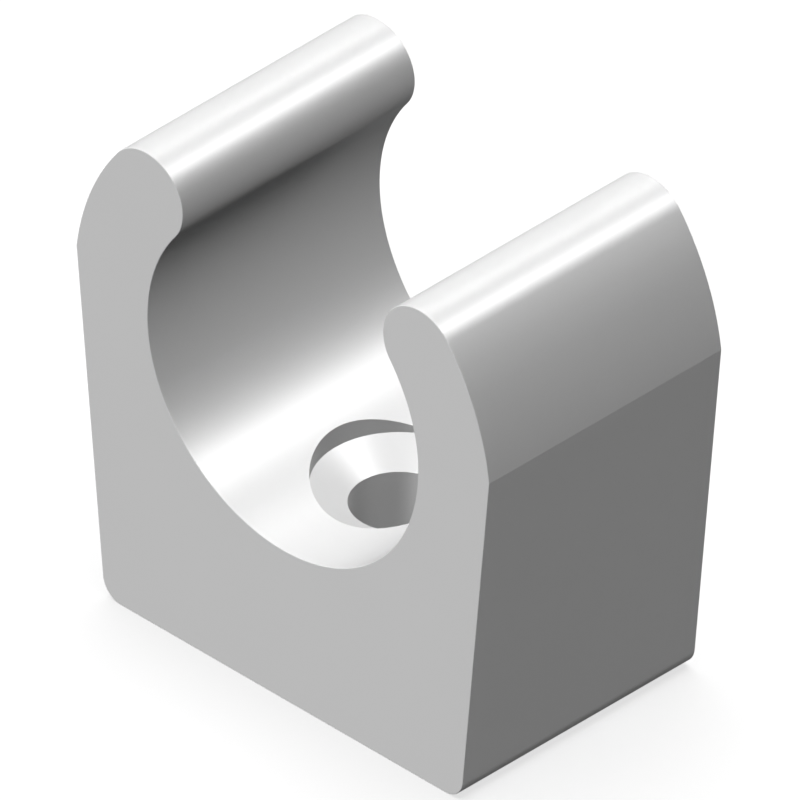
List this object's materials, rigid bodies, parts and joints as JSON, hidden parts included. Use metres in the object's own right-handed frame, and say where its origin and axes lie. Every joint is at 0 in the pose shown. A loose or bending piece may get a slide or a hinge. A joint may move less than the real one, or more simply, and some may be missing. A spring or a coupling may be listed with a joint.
{
  "type": "tube clip",
  "caption": "Moulded plastic clip that screws to a wall and snaps round a tube: a thick floor with a countersunk screw hole, under a round open seat with springy arms.",
  "frame": {"origin": "middle of the flat base, where the screw hole's axis leaves it", "axes": "+Z from the wall out to the mouth, along the screw hole; Y along the tube; X across the mouth, from one arm to the other"},
  "size_m": [0.023, 0.013, 0.0224],
  "materials": {
    "moulded_plastic": "plain white moulded plastic with a satin sheen"
  },
  "bodies": {
    "root": {"clip_body": "moulded_plastic"}
  },
  "joints": []
}
